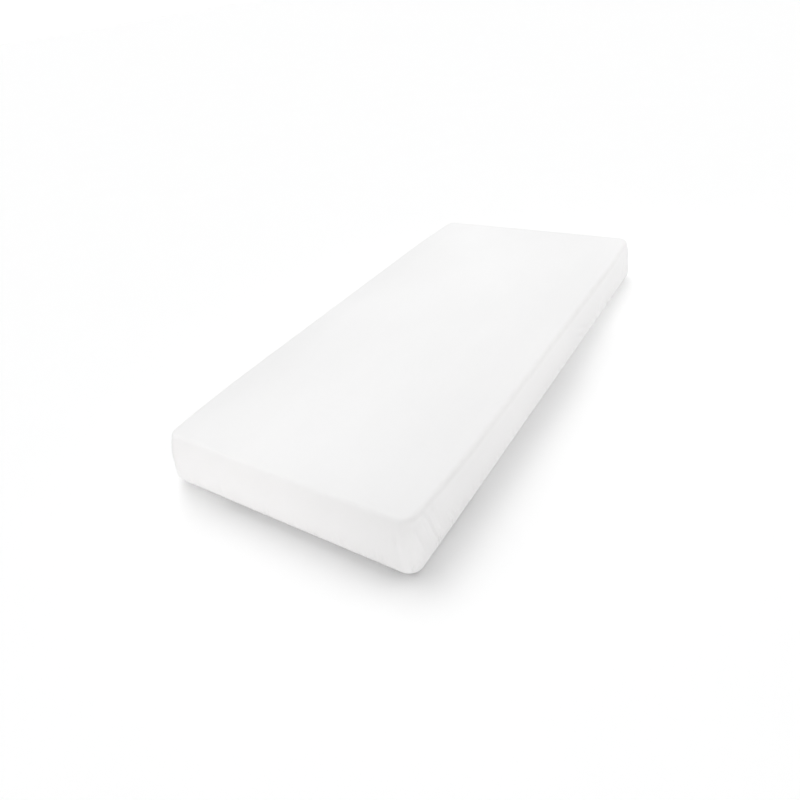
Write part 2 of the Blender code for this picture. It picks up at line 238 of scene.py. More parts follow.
def ring(stations, inset, radius, height=0.0):
    """x, y, tangential flat distance, outward plan direction and long-wall share at each station, for one drawn-in
    outline. inset is a number, or a pair for the long and the short walls. height is 0 at the foot and 1 at the top
    edge."""
    side, kind, value = stations
    normal = np.array([SIDES[k][1] for k in side], float)
    tangent = np.array([SIDES[k][2] for k in side], float)
    inset_long, inset_short = inset if isinstance(inset, tuple) else (inset, inset)
    hx, hy = WIDTH / 2 - inset_long - radius, LENGTH / 2 - inset_short - radius
    short = np.isin(side, (0, 2))
    reach, depth = np.where(short, hx, hy), np.where(short, hy, hx)
    angle = np.where(kind == 0, 0.0, value)
    along = np.where(kind == 0, -reach + 2 * reach * value, reach * kind)
    flat = along + radius * angle
    direction = np.cos(angle)[:, None] * normal + np.sin(angle)[:, None] * tangent
    long_share = direction[:, 0] ** 2
    # the corner as a whole is drawn in, and less so along the walls beside it
    towards = normal + np.sign(along)[:, None] * tangent
    pull = height * draw_in(reach - np.abs(along))[:, None] * towards * (DRAW_IN, DRAW_IN_SHORT)
    xy = along[:, None] * tangent + depth[:, None] * normal + radius * direction - pull
    return xy, flat, direction, long_share


def arc_position(stations):
    """Distance round the outline at its widest, from the front left corner's seam."""
    xy = ring(stations, 0.0, CORNER_R)[0]
    step = np.linalg.norm(np.roll(xy, -1, 0) - xy, axis=1)
    return np.concatenate([[0.0], np.cumsum(step)[:-1]]), step.sum()


# ---- section of the outer face -------------------------------------------------------------------------------
def bezier(p0, p1, p2, p3, n):
    t = np.linspace(0, 1, n + 1)[:, None]
    p0, p1, p2, p3 = map(np.array, (p0, p1, p2, p3))
    return (1 - t) ** 3 * p0 + 3 * (1 - t) ** 2 * t * p1 + 3 * (1 - t) * t ** 2 * p2 + t ** 3 * p3


def wall_share(z):
    return np.clip((z - LOW_EDGE) / (WALL_TOP - LOW_EDGE), 0, 1) ** LEAN_POWER


def top_edge_curve(lean, n):
    """The rounding from a wall to the top, as (inset, z) beyond the wall's own row."""
    slope = LEAN_POWER * lean / (WALL_TOP - LOW_EDGE)
    up = np.array([slope, 1.0]) / math.hypot(slope, 1.0)
    over = np.array([1.0, 2 * CROWN / CROWN_REACH])
    over = over / np.linalg.norm(over)
    start, end = np.array([lean, WALL_TOP]), np.array([lean + TOP_EDGE, HEIGHT - CROWN])
    return bezier(start, start + up * 0.0092, end - over * 0.0092, end, n)[1:]


def top_radius(inset):
    """Plan radius of the corners past the top edge: they grow tighter inwards."""
    return TOP_CORNER_R - 1.20 * min(inset, TOP_EDGE) - 0.15 * max(0.0, inset - TOP_EDGE)


def section(fine=True):
    """Rows of the outer face from the end of the flat underside up to the top: inset and z on the long walls, inset
    and z on the short ones, plan radius, and height share."""
    out = []
    steps = 8 if fine else 4
    for i in range(1, steps):
        a = math.pi / 2 * i / steps
        inset, z = UNDER * (1 - math.sin(a)), LOW_EDGE * (1 - math.cos(a))
        out.append((inset, z, inset, z, CORNER_R, z / WALL_TOP))
    steps = 20 if fine else 7
    for i in range(steps + 1):
        z = LOW_EDGE + (WALL_TOP - LOW_EDGE) * i / steps
        share = float(wall_share(np.array(z)))
        out.append((LEAN_LONG * share, z, LEAN_SHORT * share, z, CORNER_R + (TOP_CORNER_R - CORNER_R) * i / steps,
                    z / WALL_TOP))
    n = 8 if fine else 4
    for (il, zl), (is_, zs) in zip(top_edge_curve(LEAN_LONG, n), top_edge_curve(LEAN_SHORT, n)):
        out.append((il, zl, is_, zs, top_radius(il - LEAN_LONG), 1.0))
    return out


def ring_points(stations, row, out=0.0):
    """The points of a section's row, and each station's flat distance; out moves the ring inwards in plan."""
    il, zl, is_, zs, radius, height = row
    xy, flat, direction, long_share = ring(stations, (il, is_), radius, height)
    return np.c_[xy - out * direction, zl * long_share + zs * (1 - long_share)], flat


def to_top_edge(x, y):
    """Distances in from the long and the short top edges."""
    along_y = np.clip(LENGTH / 2 - LEAN_SHORT - TOP_CORNER_R - np.abs(y), 0, None)
    along_x = np.clip(WIDTH / 2 - LEAN_LONG - TOP_CORNER_R - np.abs(x), 0, None)
    return (WIDTH / 2 - np.abs(x) - LEAN_LONG - TOP_EDGE - DRAW_IN * draw_in(along_y),
            LENGTH / 2 - np.abs(y) - LEAN_SHORT - TOP_EDGE - DRAW_IN_SHORT * draw_in(along_x))


def top_height(x, y, streaks=1.0):
    dx, dy = to_top_edge(x, y)
    tx, ty = np.clip(dx / CROWN_REACH, 0, 1), np.clip(dy / CROWN_REACH, 0, 1)
    fx, fy = 1 - (1 - tx) ** 2, 1 - (1 - ty) ** 2
    z = HEIGHT - CROWN * (1 - fx * fy)
    ease = smooth(tx * 1.4) * smooth(ty * 1.4)
    for s in rows(STREAK_COLUMNS, STREAKS):
        a = math.radians(s["turn"])
        ux, uy = x - s["x"], y - s["y"]
        across, along = ux * math.cos(a) + uy * math.sin(a), -ux * math.sin(a) + uy * math.cos(a)
        z = z + streaks * ease * 1.7 * s["rise"] * bump(across, s["half"]) * bump(along, s["run"])
    # the faint unevenness of a soft core under taut cloth
    z = z + streaks * ease * 0.00025 * np.sin(9.1 * x + 2.3 * y + 0.7) * np.sin(5.3 * y - 3.7 * x + 1.9)
    return z


def small_pleats():
    rng = np.random.default_rng(7)
    out = []
    for corner in CORNER_SIGNS:
        for wall, (count, reach, rise) in SMALL_PLEATS.items():
            for i in range(count):
                at = 0.018 + reach * ((i + rng.uniform(0.1, 0.9)) / count) ** 1.15
                share = 1 - at / (reach * 1.35)
                out.append(dict(corner=corner, wall=wall, at=at, fan=rng.uniform(0.010, 0.040) * share,
                                foot=rng.uniform(0.014, 0.028), head=rng.uniform(0.060, 0.115),
                                half=rng.uniform(0.0055, 0.0085), rise=rise * share * rng.uniform(0.45, 1.0)))
    return out


def foot_pleats():
    """Low, tapering pleats as rows for the creases."""
    rng = np.random.default_rng(19)
    out = [("right", at, head) for at, head in FOOT_PLEATS]
    for wall, spacing in FOOT_SPACING.items():
        reach = (LENGTH if wall == "left" else WIDTH) / 2 - 0.11
        at = -reach + rng.uniform(0, spacing)
        while at < reach:
            out.append((wall, at, rng.uniform(0.052, 0.078)))
            at += spacing * rng.uniform(0.6, 1.4)
    made = []
    for wall, at, head in out:
        rise = rng.uniform(0.0017, 0.0028) if wall in ("left", "right") else rng.uniform(0.0011, 0.0019)
        made.append(dict(wall=wall, at=at, lean=rng.uniform(-0.006, 0.006), foot=0.029, head=head,
                         half=rng.uniform(0.0060, 0.0085), rise=rise, taper=0.55))
    return made


def wall_fold(x, y, z, s, perimeter):
    """How far the cloth stands out of the plain wall, along its normal."""
    out = np.zeros_like(x)
    from_x, from_y = WIDTH / 2 - np.abs(x), LENGTH / 2 - np.abs(y)
    on_long = smooth((from_y - from_x) / 0.016 + 0.5)
    for p in rows(PLEAT_COLUMNS, PLEATS) + small_pleats():
        sx, sy = CORNER_SIGNS[p["corner"]]
        here = ((x * sx > 0) & (y * sy > 0)) * (on_long if p["wall"] == "long" else 1 - on_long)
        along = from_y if p["wall"] == "long" else from_x
        t = (z - (p["foot"] + p["head"]) / 2) / (p["head"] - p["foot"])
        off = along - (p["at"] - p["fan"] * t)
        half = p["half"] * (1.0 - 0.45 * np.clip(t, -0.5, 0.5))
        # a soft ridge with a sharper side towards the corner and a shallow trough beyond it
        shape = np.where(off > 0, bump(off, half * 1.25), bump(off, half * 0.85))
        shape = shape - 0.12 * bump(off - 2.3 * half, half * 1.3) - 0.08 * bump(off + 1.9 * half, half)
        out = out + here * p["rise"] * shape * between(z, p["foot"], p["head"], 0.026)
    for c in rows(CREASE_COLUMNS, CREASES) + foot_pleats():
        long_wall = c["wall"] in ("left", "right")
        sign = 1 if c["wall"] in ("right", "back") else -1
        here = (x * sign > WIDTH / 2 - 0.07) if long_wall else (y * sign > LENGTH / 2 - 0.07)
        t = (z - c["foot"]) / (c["head"] - c["foot"])
        off = (y if long_wall else x) - (c["at"] + c["lean"] * t)
        half = c["half"] * (1 - c.get("taper", 0.0) * np.clip(t, 0, 1))
        shape = bump(off, half) - 0.20 * bump(off - 2.1 * half, half * 1.3)
        out = out + here * c["rise"] * shape * between(z, c["foot"], c["head"], 0.022)
    # gathers that the elastic draws into the turn-under, strongest beside the corners
    corner = np.exp(-np.minimum(np.hypot(from_x, from_y), 1.0) / 0.16)
    low = smooth((0.016 - z) / 0.014)
    out = out + low * (0.00010 + 0.00016 * corner) * GATHER(s)
    # slow unevenness of the walls
    out = out + 0.00035 * smooth((z - 0.04) / 0.05) * SLOW(s) * np.sin(math.pi * np.clip(z / HEIGHT, 0, 1))
    # under the top edge each corner is a little hollow, and fuller below
    seam = seam_distance(s, perimeter)
    out = out - 0.0013 * bump(seam, 0.034) * (bump(z - 0.157, 0.011) - 0.6 * bump(z - 0.120, 0.026))
    # the corner seam: a narrow shallow groove with faint puckers either side
    tall = between(z, 0.0, WALL_TOP - 0.004, 0.016)
    pucker = np.sin(2 * math.pi * z / 0.0105 + 3.0 * np.sin(z * 60.0 + s * 2.0))
    out = out + tall * (0.00006 * pucker * bump(seam - 0.0042, 0.0030) - 0.00030 * bump(seam, 0.0011))
    return np.maximum(out, -0.0022)


def seam_distance(s, perimeter):
    """Distance along the outline to the nearest corner seam."""
    front = WIDTH - 2 * CORNER_R + CORNER_R * math.pi / 2
    long = LENGTH - 2 * CORNER_R + CORNER_R * math.pi / 2
    marks = np.array([0.0, front, front + long, 2 * front + long, 2 * (front + long)])
    scale = perimeter / marks[-1]
    return np.min(np.abs(s[..., None] - marks * scale), axis=-1)


GATHER = Ripple(11, (0.0125, 0.0170, 0.0230, 0.0310))
SLOW = Ripple(5, (0.31, 0.47, 0.73))
HEM_WAVE = Ripple(23, (0.0150, 0.0210, 0.0290, 0.0450))
HEM_DRIFT = Ripple(31, (0.24, 0.37, 0.61))


# ---- mesh helpers --------------------------------------------------------------------------------------------
class Shell:
    """Collects vertices, and faces with the flat-cloth coordinates of their corners."""

    def __init__(self):
        self.points, self.count, self.faces, self.uvs = [], 0, [], []

    def add(self, points):
        first = self.count
        self.points.append(np.asarray(points, float))
        self.count += len(points)
        return np.arange(first, self.count)

    def quads(self, a, b, c, d, uv=None, flip=False):
        """Faces a b c d, each an array of vertex numbers; uv is four (n, 2) arrays, one for each corner."""
        f = np.stack([a, b, c, d], 1)
        u = np.stack(uv, 1) if uv is not None else np.stack([self._xy(v) for v in (a, b, c, d)], 1)
        if flip:
            f, u = f[:, ::-1], u[:, ::-1]
        self.faces += [tuple(row) for row in f.tolist()]
        self.uvs.append(u.reshape(-1, 2))

    def tris(self, a, b, c, uv=None, flip=False):
        f = np.stack([a, b, c], 1)
        u = np.stack(uv, 1) if uv is not None else np.stack([self._xy(v) for v in (a, b, c)], 1)
        if flip:
            f, u = f[:, ::-1], u[:, ::-1]
        self.faces += [tuple(row) for row in f.tolist()]
        self.uvs.append(u.reshape(-1, 2))

    def _xy(self, index):
        return np.concatenate(self.points)[index][:, :2]

    def all_points(self):
        return np.concatenate(self.points)


def ring_uv(side, flat, distance):
    """Flat-cloth coordinates on a side: how far along it, and how far out past the top panel."""
    normal = np.array([SIDES[k][1] for k in side], float)
    tangent = np.array([SIDES[k][2] for k in side], float)
    half = np.where(np.isin(side, (0, 2)), LENGTH / 2, WIDTH / 2)
    return flat[:, None] * tangent + (half + distance)[:, None] * normal


def connect(shell, low, high, side, low_uv, high_uv, flip=False):
    """A band of quads between two rings of equal stations. low_uv and high_uv are (flat, distance) at each station."""
    n = len(low)
    i, j = np.arange(n), (np.arange(n) + 1) % n
    end_flat = lambda pair: np.where(np.roll(side, -1) == side, np.roll(pair[0], -1), -np.roll(pair[0], -1))
    a = ring_uv(side, low_uv[0], low_uv[1])
    b = ring_uv(side, end_flat(low_uv), np.roll(low_uv[1], -1))
    c = ring_uv(side, end_flat(high_uv), np.roll(high_uv[1], -1))
    d = ring_uv(side, high_uv[0], high_uv[1])
    shell.quads(low[i], low[j], high[j], high[i], (a, b, c, d), flip)


def reduce_band(shell, fine, coarse, step, flip=False):
    """Joins a ring to one with every step-th of its stations, in triangles."""
    n = len(coarse)
    i = np.arange(n)
    j = (i + 1) % n
    middle = step // 2
    for k in range(step):
        a, b = fine[i * step + k], fine[(i * step + k + 1) % len(fine)]
        apex = coarse[i] if k <= middle - (step % 2 == 0) else coarse[j]
        shell.tris(a, b, apex, flip=flip)
    a = fine[(i * step + middle + (step % 2 == 1)) % len(fine)]
    shell.tris(a, coarse[j], coarse[i], flip=flip)


def patch(shell, edge, nx, ny, height, flip=False):
    """Fills a ring with a grid: the ring starts at the front left corner and has nx, ny, nx and ny cells."""
    points = shell.all_points()[edge]
    front, right = edge[: nx + 1], edge[nx: nx + ny + 1]
    back = edge[nx + ny: 2 * nx + ny + 1][::-1]
    left = np.append(edge[2 * nx + ny:], edge[0])[::-1]
    at = dict(zip(edge.tolist(), points[:, :2]))
    f, b, l, r = (np.array([at[v] for v in line.tolist()]) for line in (front, back, left, right))

    def share(line):
        d = np.concatenate([[0], np.cumsum(np.linalg.norm(np.diff(line, axis=0), axis=1))])
        return d / d[-1]

    u, v = share(f)[:, None, None], share(l)[None, :, None]
    grid = ((1 - v) * f[:, None] + v * b[:, None] + (1 - u) * l[None] + u * r[None]
            - ((1 - u) * (1 - v) * f[0] + u * (1 - v) * f[-1] + (1 - u) * v * b[0] + u * v * b[-1]))
    inner = grid[1:-1, 1:-1].reshape(-1, 2)
    added = shell.add(np.c_[inner, height(inner[:, 0], inner[:, 1])]).reshape(nx - 1, ny - 1)
    index = np.zeros((nx + 1, ny + 1), int)
    index[1:-1, 1:-1] = added
    index[:, 0], index[:, -1], index[0, :], index[-1, :] = front, back, left, right
    shell.quads(index[:-1, :-1].ravel(), index[1:, :-1].ravel(), index[1:, 1:].ravel(), index[:-1, 1:].ravel(),
                flip=flip)


def face_normals(points, faces):
    out = np.zeros_like(points)
    for size in (3, 4):
        f = np.array([face for face in faces if len(face) == size])
        if not len(f):
            continue
        a, b, c = points[f[:, 0]], points[f[:, 1]], points[f[:, 2]]
        n = np.cross(b - a, c - a)
        if size == 4:
            n = n + np.cross(c - a, points[f[:, 3]] - a)
        for k in range(size):
            np.add.at(out, f[:, k], n)
    return out / np.maximum(np.linalg.norm(out, axis=1), 1e-12)[:, None]


def to_object(name, shell, points, material):
    mesh = bpy.data.meshes.new(name)
    mesh.from_pydata(points.tolist(), [], shell.faces)
    layer = mesh.uv_layers.new(name="cloth")
    layer.data.foreach_set("uv", np.concatenate(shell.uvs).astype(np.float32).ravel())
    mesh.update()
    mesh.shade_smooth()
    obj = bpy.data.objects.new(name, mesh)
    bpy.context.scene.collection.objects.link(obj)
    mesh.materials.append(material)
    return obj


# ---- the sheet -----------------------------------------------------------------------------------------------
UNDER_ROWS = (TUCK, TUCK - 0.0006, TUCK - 0.0022, TUCK - 0.006, TUCK - 0.011, TUCK - 0.0155, TUCK - 0.0165,
              TUCK - 0.0180, TUCK - 0.024, TUCK - 0.036, 0.095, 0.078, 0.056, UNDER)
TOP_ROWS = (0.004, 0.010, 0.017)               # past the top edge's rounding, before the coarse grid
RIM = 0.026


def under_radius(inset):
    return CORNER_R + (UNDER_HEM_R - CORNER_R) * (inset - UNDER) / (TUCK - UNDER)


def build_sheet(material):
    stations = make_stations()
    side, kind, value = stations
    n = len(side)
    around, ahead = np.arange(n), (np.arange(n) + 1) % n
    s, perimeter = arc_position(stations)
    xy0 = ring(stations, 0.0, CORNER_R)[0]
    corner = np.exp(-np.hypot(WIDTH / 2 - np.abs(xy0[:, 0]), LENGTH / 2 - np.abs(xy0[:, 1])) / 0.15)
    wave = 0.5 + 0.5 * HEM_WAVE(s)
    drift = HEM_DRIFT(s)
    shell = Shell()

    # lower face of the border, from the hem's rounded edge out to the turn-under
    outer, uv = [], []
    distance = 0.165 + TUCK
    last = None
    for inset in UNDER_ROWS:
        t = (inset - UNDER) / (TUCK - UNDER)
        shift = t * t * (0.0050 * drift + 0.0012 * (wave - 0.5))
        xy, flat = ring(stations, inset + shift, under_radius(inset))[:2]
        lift = smooth((t - 0.15) / 0.85) * (0.0006 + 0.0008 * corner) * wave
        edge = (0.0013 if inset == TUCK else 0.0004 if inset > TUCK - 0.001 else 0.0)
        stitch = 0.0005 * bump(inset - (TUCK - 0.0160), 0.0009)
        if last is not None:
            distance -= last - inset
        last = inset
        outer.append(shell.add(np.c_[xy, lift + edge + stitch]))
        uv.append((flat, np.full(n, distance)))
    under_count = len(outer)
    # up the wall and over the edge
    before = (UNDER, 0.0)
    for row in section():
        points, flat = ring_points(stations, row)
        distance -= math.hypot(row[2] - before[0], row[3] - before[1])
        before = (row[2], row[3])
        outer.append(shell.add(points))
        uv.append((flat, np.full(n, distance)))
    wall_end = len(outer)
    edge_points = shell.points[-1]
    drop = edge_points[:, 2] - top_height(edge_points[:, 0], edge_points[:, 1])
    for more in TOP_ROWS:
        xy, flat = ring(stations, (LEAN_LONG + TOP_EDGE + more, LEAN_SHORT + TOP_EDGE + more),
                        top_radius(TOP_EDGE + more), 1.0)[:2]
        z = top_height(xy[:, 0], xy[:, 1]) + drop * (1 - smooth(more / RIM))
        outer.append(shell.add(np.c_[xy, z]))
        uv.append((flat, np.full(n, distance - more)))
    for a, b, ua, ub in zip(outer[:-1], outer[1:], uv[:-1], uv[1:]):
        connect(shell, a, b, side, ua, ub)
    # the top: every third station, then a grid
    coarse = slice(None, None, COARSE)
    few = (side[coarse], kind[coarse], value[coarse])
    nx, ny = int((few[0] == 0).sum()), int((few[0] == 1).sum())
    rim_xy = ring(few, (LEAN_LONG + TOP_EDGE + RIM, LEAN_SHORT + TOP_EDGE + RIM), top_radius(TOP_EDGE + RIM), 1.0)[0]
    rim = shell.add(np.c_[rim_xy, top_height(rim_xy[:, 0], rim_xy[:, 1])])
    reduce_band(shell, outer[-1], rim, COARSE)
    patch(shell, rim, nx, ny, lambda x, y: top_height(x, y))

    # folds, on the plain outer face
    points = shell.all_points()
    normals = face_normals(points, shell.faces)
    walls = np.concatenate(outer[under_count:wall_end])
    p = points[walls]
    move = wall_fold(p[:, 0], p[:, 1], p[:, 2], np.tile(s, wall_end - under_count), perimeter)
    fade = smooth((HEIGHT - CROWN - 0.0015 - p[:, 2]) / 0.012)
    points[walls] = p + normals[walls] * (move * fade)[:, None]
    points[:, 2] = np.maximum(points[:, 2], 0.0)
    shell.points = [points]

    # the inner face: fine round the hem, then every third station
    inner = []
    for row, inset in enumerate(UNDER_ROWS[:10]):
        thick = HEM_CLOTH + (CLOTH - HEM_CLOTH) * float(smooth(np.array((TUCK - HEM_BAND + 0.002 - inset) / 0.006)))
        if inset == TUCK:
            thick = 0.0002
        elif inset > TUCK - 0.001:
            thick = HEM_CLOTH - 0.0010
        inner.append(shell.add(points[outer[row]] + [0, 0, thick]))
    for a, b in zip(inner[:-1], inner[1:]):
        shell.quads(a[around], a[ahead], b[ahead], b[around], flip=True)
    shell.quads(outer[0][ahead], outer[0][around], inner[0][around], inner[0][ahead])
    lining = []
    for inset in (0.095, 0.060, UNDER):
        t = (inset - UNDER) / (TUCK - UNDER)
        xy = ring(few, inset, under_radius(inset))[0]
        lining.append(shell.add(np.c_[xy, np.full(len(xy), CLOTH + 0.0010 * t)]))
    reduce_band(shell, inner[-1], lining[0], COARSE, flip=True)
    profile = [(UNDER, 0.0, UNDER, 0.0, CORNER_R, 0.0)] + section(fine=False)
    profile.append((LEAN_LONG + TOP_EDGE + 0.010, HEIGHT - CROWN + 0.0006, LEAN_SHORT + TOP_EDGE + 0.010,
                    HEIGHT - CROWN + 0.0006, top_radius(TOP_EDGE + 0.010), 1.0))
    for k in range(1, len(profile) - 1):
        # the normal of the section, a little more than the cloth's thickness inwards
        run, up = -(profile[k + 1][2] - profile[k - 1][2]), profile[k + 1][3] - profile[k - 1][3]
        size = math.hypot(run, up)
        made, _ = ring_points(few, profile[k], 0.0017 * up / size)
        lining.append(shell.add(made + [0, 0, 0.0017 * run / size]))
    lining.append(shell.add(np.c_[rim_xy, top_height(rim_xy[:, 0], rim_xy[:, 1]) - CLOTH]))
    m = len(few[0])
    around, ahead = np.arange(m), (np.arange(m) + 1) % m
    for a, b in zip(lining[:-1], lining[1:]):
        shell.quads(a[around], a[ahead], b[ahead], b[around], flip=True)
    fewer = tuple(a[::2] for a in few)
    last_xy = ring(fewer, (LEAN_LONG + TOP_EDGE + 0.050, LEAN_SHORT + TOP_EDGE + 0.050), top_radius(TOP_EDGE + 0.050),
                   1.0)[0]
    last = shell.add(np.c_[last_xy, top_height(last_xy[:, 0], last_xy[:, 1]) - CLOTH])
    reduce_band(shell, lining[-1], last, 2, flip=True)
    patch(shell, last, nx // 2, ny // 2, lambda x, y: top_height(x, y) - CLOTH, flip=True)
    return to_object("sheet", shell, shell.all_points(), material)


# ---- the mattress --------------------------------------------------------------------------------------------
def build_mattress(material):
    stations = make_stations()
    few = tuple(a[::6] for a in stations)
    nx, ny = int((few[0] == 0).sum()), int((few[0] == 1).sum())
    low, high = 0.0058, HEIGHT - CROWN - CLOTH - 0.0025
    clear = 0.0040
    shell = Shell()
    rings = []

    def add(il, is_, z, radius, height):
        rings.append(shell.add(ring_points(few, (il, z, is_, z, radius, height))[0]))

    add(TUCK * 0.55, TUCK * 0.55, low, 0.040, 0.0)
    add(clear + 0.036, clear + 0.036, low, CORNER_R - 0.006, 0.0)
    for k in range(1, 5):
        a = math.pi / 2 * k / 4
        add(clear + UNDER * (1 - math.sin(a)), clear + UNDER * (1 - math.sin(a)), low + 0.034 * (1 - math.cos(a)),
            CORNER_R - 0.003, 0.2 * k / 4)
    for z in (0.070, 0.105, 0.135, high - TOP_EDGE):
        share = float(wall_share(np.array(z + 0.004)))
        add(clear + LEAN_LONG * share, clear + LEAN_SHORT * share, z, CORNER_R - 0.003, (z + 0.004) / WALL_TOP)
    for k in range(1, 5):
        a = math.pi / 2 * k / 4
        over = TOP_EDGE * (1 - math.cos(a))
        add(clear + LEAN_LONG + over, clear + LEAN_SHORT + over, high - TOP_EDGE * (1 - math.sin(a)),
            CORNER_R - 0.003, 1.0)
    n = len(few[0])
    i, j = np.arange(n), (np.arange(n) + 1) % n
    for a, b in zip(rings[:-1], rings[1:]):
        shell.quads(a[i], a[j], b[j], b[i])
    patch(shell, rings[-1], nx, ny, lambda x, y: np.full_like(x, high))
    swell = lambda x, y: low - 0.0012 * smooth((WIDTH / 2 - np.abs(x) - 0.16) / 0.06) * smooth(
        (LENGTH / 2 - np.abs(y) - 0.16) / 0.06) * (0.7 + 0.3 * np.sin(13 * x + 1) * np.sin(9 * y))
    patch(shell, rings[0], nx, ny, swell, flip=True)
    return to_object("mattress_block", shell, shell.all_points(), material)


# ---- materials -----------------------------------------------------------------------------------------------
class Nodes:
    def __init__(self, name):
        self.material = bpy.data.materials.new(name)
        self.material.use_nodes = True
        self.tree = self.material.node_tree
        self.tree.nodes.clear()
        self.output = self.tree.nodes.new("ShaderNodeOutputMaterial")
        self.shader = self.tree.nodes.new("ShaderNodeBsdfPrincipled")
        self.tree.links.new(self.shader.outputs[0], self.output.inputs["Surface"])

    def new(self, kind, **settings):
        node = self.tree.nodes.new(kind)
        for key, value in settings.items():
            if key in node.inputs:
                node.inputs[key].default_value = value
            else:
                setattr(node, key, value)
        return node

    def link(self, a, b):
        self.tree.links.new(a, b)

    def math(self, operation, a, b=None, clamp=False):
        node = self.new("ShaderNodeMath", operation=operation, use_clamp=clamp)
        for k, value in enumerate((a, b)):
            if value is None:
                continue
            if isinstance(value, (int, float)):
                node.inputs[k].default_value = value
            else:
                self.link(value, node.inputs[k])
        return node.outputs[0]

    def noise(self, vector, scale, detail=2.0, roughness=0.5):
        node = self.new("ShaderNodeTexNoise", Scale=scale, Detail=detail, Roughness=roughness)
        self.link(vector, node.inputs["Vector"])
        return node.outputs["Fac"]

    def stretch(self, vector, scale, turn=0.0):
        node = self.new("ShaderNodeMapping")
        node.inputs["Scale"].default_value = scale
        node.inputs["Rotation"].default_value = (0, 0, math.radians(turn))
        self.link(vector, node.inputs["Vector"])
        return node.outputs["Vector"]

    def step(self, value, low, high):
        """0 at low, 1 at high, smooth between."""
        node = self.new("ShaderNodeMapRange", interpolation_type="SMOOTHSTEP")
        turn = low > high
        node.inputs["From Min"].default_value, node.inputs["From Max"].default_value = min(low, high), max(low, high)
        node.inputs["To Min"].default_value, node.inputs["To Max"].default_value = float(turn), float(not turn)
        self.link(value, node.inputs["Value"])
        return node.outputs["Result"]

    def ramp(self, value, stops):
        node = self.new("ShaderNodeValToRGB")
        while len(node.color_ramp.elements) < len(stops):
            node.color_ramp.elements.new(0.5)
        for element, (at, colour) in zip(node.color_ramp.elements, stops):
            element.position, element.color = at, (*colour, 1.0)
        self.link(value, node.inputs["Fac"])
        return node.outputs["Color"]

    def plain_weave(self, vector, pitch):
        """Over-and-under threads, from 0 to 1."""
        separate = self.new("ShaderNodeSeparateXYZ")
        self.link(vector, separate.inputs[0])
        u = self.math("MULTIPLY", separate.outputs[0], math.pi / pitch)
        v = self.math("MULTIPLY", separate.outputs[1], math.pi / pitch)
        warp, weft = self.math("ABSOLUTE", self.math("SINE", u)), self.math("ABSOLUTE", self.math("SINE", v))
        cell = self.math("MULTIPLY", self.math("SINE", self.math("ADD", u, math.pi / 2)),
                         self.math("SINE", self.math("ADD", v, math.pi / 2)))
        over = self.math("GREATER_THAN", cell, 0.0)
        under = self.math("SUBTRACT", 1.0, over)
        return self.math("ADD", self.math("MULTIPLY", warp, over), self.math("MULTIPLY", weft, under))


def cotton():
    m = Nodes("sheet_cotton")
    uv = m.new("ShaderNodeUVMap", uv_map="cloth").outputs[0]
    threads_u = m.noise(m.stretch(uv, (1900, 120, 1)), 1.0, 2.0)
    threads_v = m.noise(m.stretch(uv, (120, 1900, 1)), 1.0, 2.0)
    slub = m.math("MULTIPLY", m.math("ADD", threads_u, threads_v), 0.5)
    soft = m.noise(m.stretch(uv, (7, 3, 1), -8), 1.0, 3.0)
    mottle = m.noise(uv, 45.0, 3.0)
    tone = m.math("ADD", m.math("MULTIPLY", slub, 0.45),
                  m.math("ADD", m.math("MULTIPLY", soft, 0.40), m.math("MULTIPLY", mottle, 0.15)))
    m.link(m.ramp(tone, ((0.30, (0.781, 0.784, 0.786)), (0.70, (0.809, 0.812, 0.814)))), m.shader.inputs["Base Color"])
    rough = m.new("ShaderNodeMapRange")
    rough.inputs["To Min"].default_value, rough.inputs["To Max"].default_value = 0.80, 0.92
    m.link(slub, rough.inputs["Value"])
    m.link(rough.outputs[0], m.shader.inputs["Roughness"])
    m.shader.inputs["Specular IOR Level"].default_value = 0.30
    m.shader.inputs["Sheen Weight"].default_value = 0.18
    m.shader.inputs["Sheen Roughness"].default_value = 0.45
    weave = m.plain_weave(uv, 0.00055)
    fine = m.new("ShaderNodeBump", Strength=0.35, Distance=0.00012)
    m.link(weave, fine.inputs["Height"])
    slubs = m.new("ShaderNodeBump", Strength=0.30, Distance=0.00020)
    m.link(slub, slubs.inputs["Height"])
    m.link(fine.outputs[0], slubs.inputs["Normal"])
    crumple = m.new("ShaderNodeBump", Strength=0.35, Distance=0.0006)
    m.link(m.noise(m.stretch(uv, (34, 15, 1), -8), 1.0, 4.0, 0.55), crumple.inputs["Height"])
    m.link(slubs.outputs[0], crumple.inputs["Normal"])
    # fine gathers in groups along the foot of the walls
    place = m.new("ShaderNodeTexCoord").outputs["Object"]
    height = m.new("ShaderNodeSeparateXYZ")
    m.link(place, height.inputs[0])
    band = m.math("MULTIPLY", m.step(height.outputs["Z"], 0.020, 0.034), m.step(height.outputs["Z"], 0.066, 0.040))
    groups = m.step(m.noise(m.stretch(place, (15, 15, 6)), 1.0, 1.0), 0.42, 0.56)
    lines = m.noise(m.stretch(place, (125, 125, 16)), 1.0, 1.0)
    gathers = m.new("ShaderNodeBump", Strength=1.0, Distance=0.0060)
    lines = m.math("SUBTRACT", lines, 0.5)
    m.link(m.math("MULTIPLY", lines, m.math("MULTIPLY", band, groups)), gathers.inputs["Height"])
    m.link(crumple.outputs[0], gathers.inputs["Normal"])
    m.link(gathers.outputs[0], m.shader.inputs["Normal"])
    return m.material


